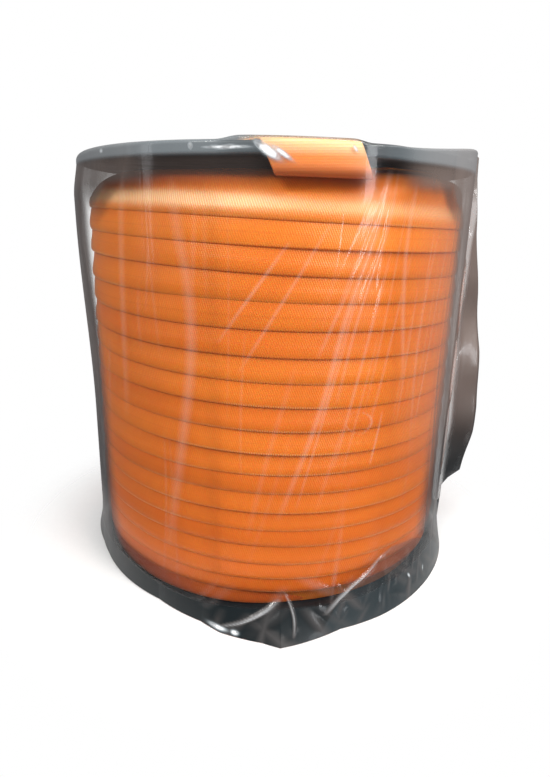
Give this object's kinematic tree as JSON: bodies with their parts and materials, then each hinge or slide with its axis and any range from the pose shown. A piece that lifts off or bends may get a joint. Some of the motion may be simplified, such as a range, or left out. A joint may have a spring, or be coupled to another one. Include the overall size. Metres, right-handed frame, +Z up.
{
  "type": "reel of round sling sleeve",
  "caption": "Flanged reel wound with flat woven sleeve for round slings, its free end turned over the rim, in a clear film bag.",
  "frame": {"origin": "on the reel's axis, in the plane that the lower flange's rim stands on", "axes": "+Z up along the reel's axis, -Y towards the side where the free end turns over the rim"},
  "size_m": [0.279, 0.2794, 0.266],
  "materials": {
    "reel_plastic": "satin",
    "plated_steel": "satin",
    "tape": "matte",
    "woven_sleeve": "satin",
    "clear_film": "gloss"
  },
  "bodies": {
    "reel": {"lower_flange": "reel_plastic", "upper_flange": "reel_plastic", "core_barrel": "reel_plastic", "tie_bolts": "plated_steel", "tie_bolt_washers": "plated_steel", "tie_nut_washers": "plated_steel", "tie_nuts": "plated_steel", "inner_end_tape": "tape", "sleeve_first_layer": "woven_sleeve", "sleeve_inner_layers": "woven_sleeve", "sleeve_outer_wraps": "woven_sleeve", "sleeve_top_wrap": "woven_sleeve", "sleeve_free_end": "woven_sleeve"},
    "film_bag": {"film_wall": "clear_film", "film_top": "clear_film", "film_end_seal": "clear_film", "film_side_fin": "clear_film", "film_corner_ear": "clear_film", "film_skirt": "clear_film"}
  },
  "joints": [
    {"name": "bag_lift", "type": "slide", "parent": "reel", "child": "film_bag", "axis": [0, 0, 1], "range_m": [0, 0.28]}
  ]
}
